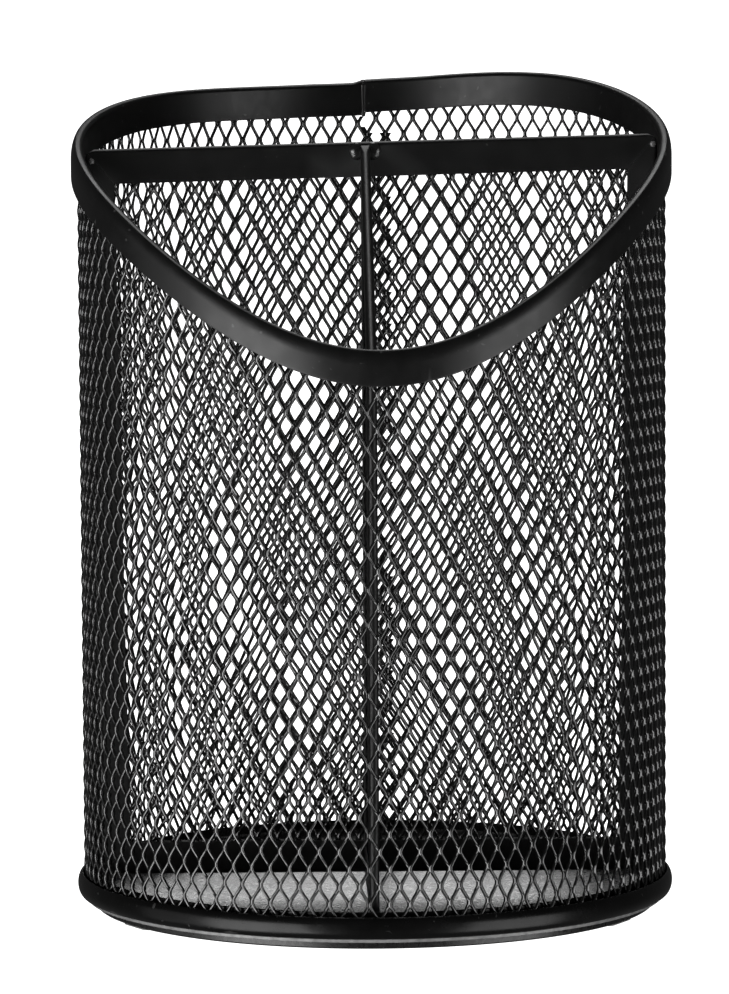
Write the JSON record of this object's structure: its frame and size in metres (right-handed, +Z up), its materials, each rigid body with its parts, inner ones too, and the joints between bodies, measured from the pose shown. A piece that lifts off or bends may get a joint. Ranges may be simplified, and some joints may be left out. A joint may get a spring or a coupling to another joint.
{
  "type": "mesh pen holder cup",
  "caption": "Round cup of expanded steel mesh with a scooped rim, a rolled base and framed mesh dividers that make one rear and two front compartments.",
  "frame": {"origin": "centre of the base at table level, on the cup's axis", "axes": "+Z up, -Y towards the low scoop of the rim (the front), +X to the right when the cup is seen from the front"},
  "size_m": [0.1, 0.1, 0.1391],
  "materials": {
    "coated_mesh": "satin black powder coat on expanded steel",
    "coated_band": "satin black powder coat on folded steel strip",
    "coated_rail": "satin black powder coat on folded steel channel",
    "coated_pan": "semi-gloss black powder coat with a fine texture",
    "coated_weld": "black powder coat over rough weld metal",
    "clear_rubber": "frosted translucent bumper pad"
  },
  "bodies": {
    "root": {"wall_mesh": "coated_mesh", "rim_band": "coated_band", "base_ring": "coated_band", "base_pan": "coated_pan", "foot_pad_rear": "clear_rubber", "foot_pad_left": "clear_rubber", "foot_pad_right": "clear_rubber", "divider_panel": "coated_mesh", "divider_rail_bottom": "coated_rail", "divider_rail_right": "coated_rail", "divider_rail_top": "coated_rail", "divider_rail_left": "coated_rail", "partition_panel": "coated_mesh", "partition_rail_bottom": "coated_rail", "partition_rail_front": "coated_rail", "partition_rail_top": "coated_rail", "partition_rail_rear": "coated_rail", "weld_corner_left": "coated_weld", "weld_corner_right": "coated_weld", "weld_joint_left": "coated_weld", "weld_joint_right": "coated_weld", "weld_front_left": "coated_weld", "weld_front_right": "coated_weld"}
  },
  "joints": []
}
